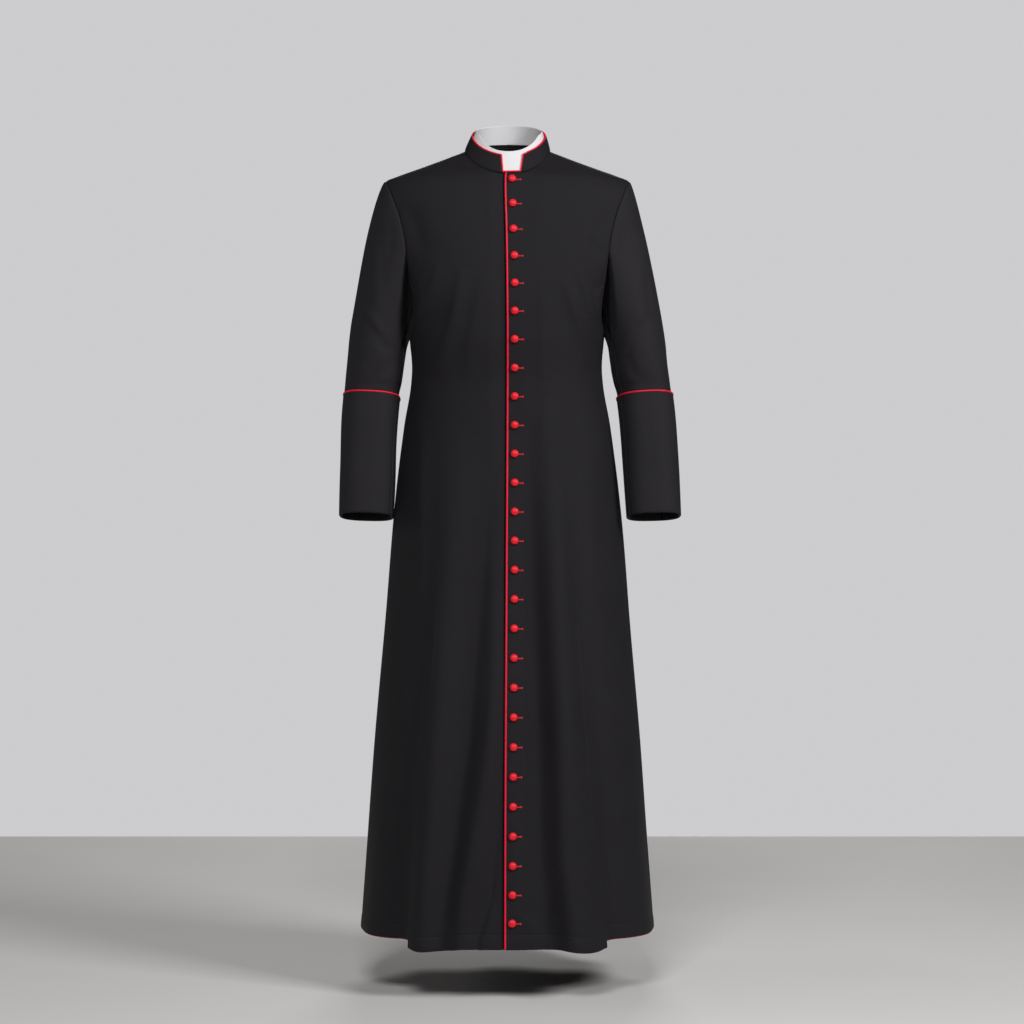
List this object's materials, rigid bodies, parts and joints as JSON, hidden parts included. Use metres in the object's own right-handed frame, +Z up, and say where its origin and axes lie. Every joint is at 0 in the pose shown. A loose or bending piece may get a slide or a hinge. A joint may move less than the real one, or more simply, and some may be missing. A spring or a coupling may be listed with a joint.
{
  "type": "cassock",
  "caption": "Ankle-length clergy cassock with red piping, a full row of covered buttons, a stand collar with a white insert and deep turned-back cuffs, hollow as worn.",
  "frame": {"origin": "middle of the neck opening at the height of the side neck points, where the wearer's neck and shoulders hold the garment", "axes": "+Z up, -Y to the wearer's front, +X to the wearer's left"},
  "size_m": [0.6418, 0.5424, 1.5391],
  "materials": {
    "cloth": "matt black worsted and polyester gabardine, finely ribbed, with a faint sheen",
    "collar_white": "smooth starched white cotton band",
    "red_piping": "red satin-weave piping with a soft sheen",
    "red_tape": "red woven hem tape",
    "red_button": "red cloth-covered dome with a soft sheen"
  },
  "bodies": {
    "root": {"front_left": "cloth", "side_left": "cloth", "back_left": "cloth", "sleeve_upper_left": "cloth", "sleeve_under_left": "cloth", "cuff_left": "cloth", "front_right": "cloth", "side_right": "cloth", "back_right": "cloth", "sleeve_upper_right": "cloth", "sleeve_under_right": "cloth", "cuff_right": "cloth", "collar": "cloth", "collar_insert": "collar_white", "collar_piping": "red_piping", "front_piping": "red_piping", "cuff_piping_left": "red_piping", "cuff_piping_right": "red_piping", "hem_tape_left": "red_tape", "hem_tape_right": "red_tape", "button_01": "red_button", "button_02": "red_button", "button_03": "red_button", "button_04": "red_button", "button_05": "red_button", "button_06": "red_button", "button_07": "red_button", "button_08": "red_button", "button_09": "red_button", "button_10": "red_button", "button_11": "red_button", "button_12": "red_button", "button_13": "red_button", "button_14": "red_button", "button_15": "red_button", "button_16": "red_button", "button_17": "red_button", "button_18": "red_button", "button_19": "red_button", "button_20": "red_button", "button_21": "red_button", "button_22": "red_button", "button_23": "red_button", "button_24": "red_button", "button_25": "red_button", "button_26": "red_button", "button_27": "red_button"}
  },
  "joints": []
}
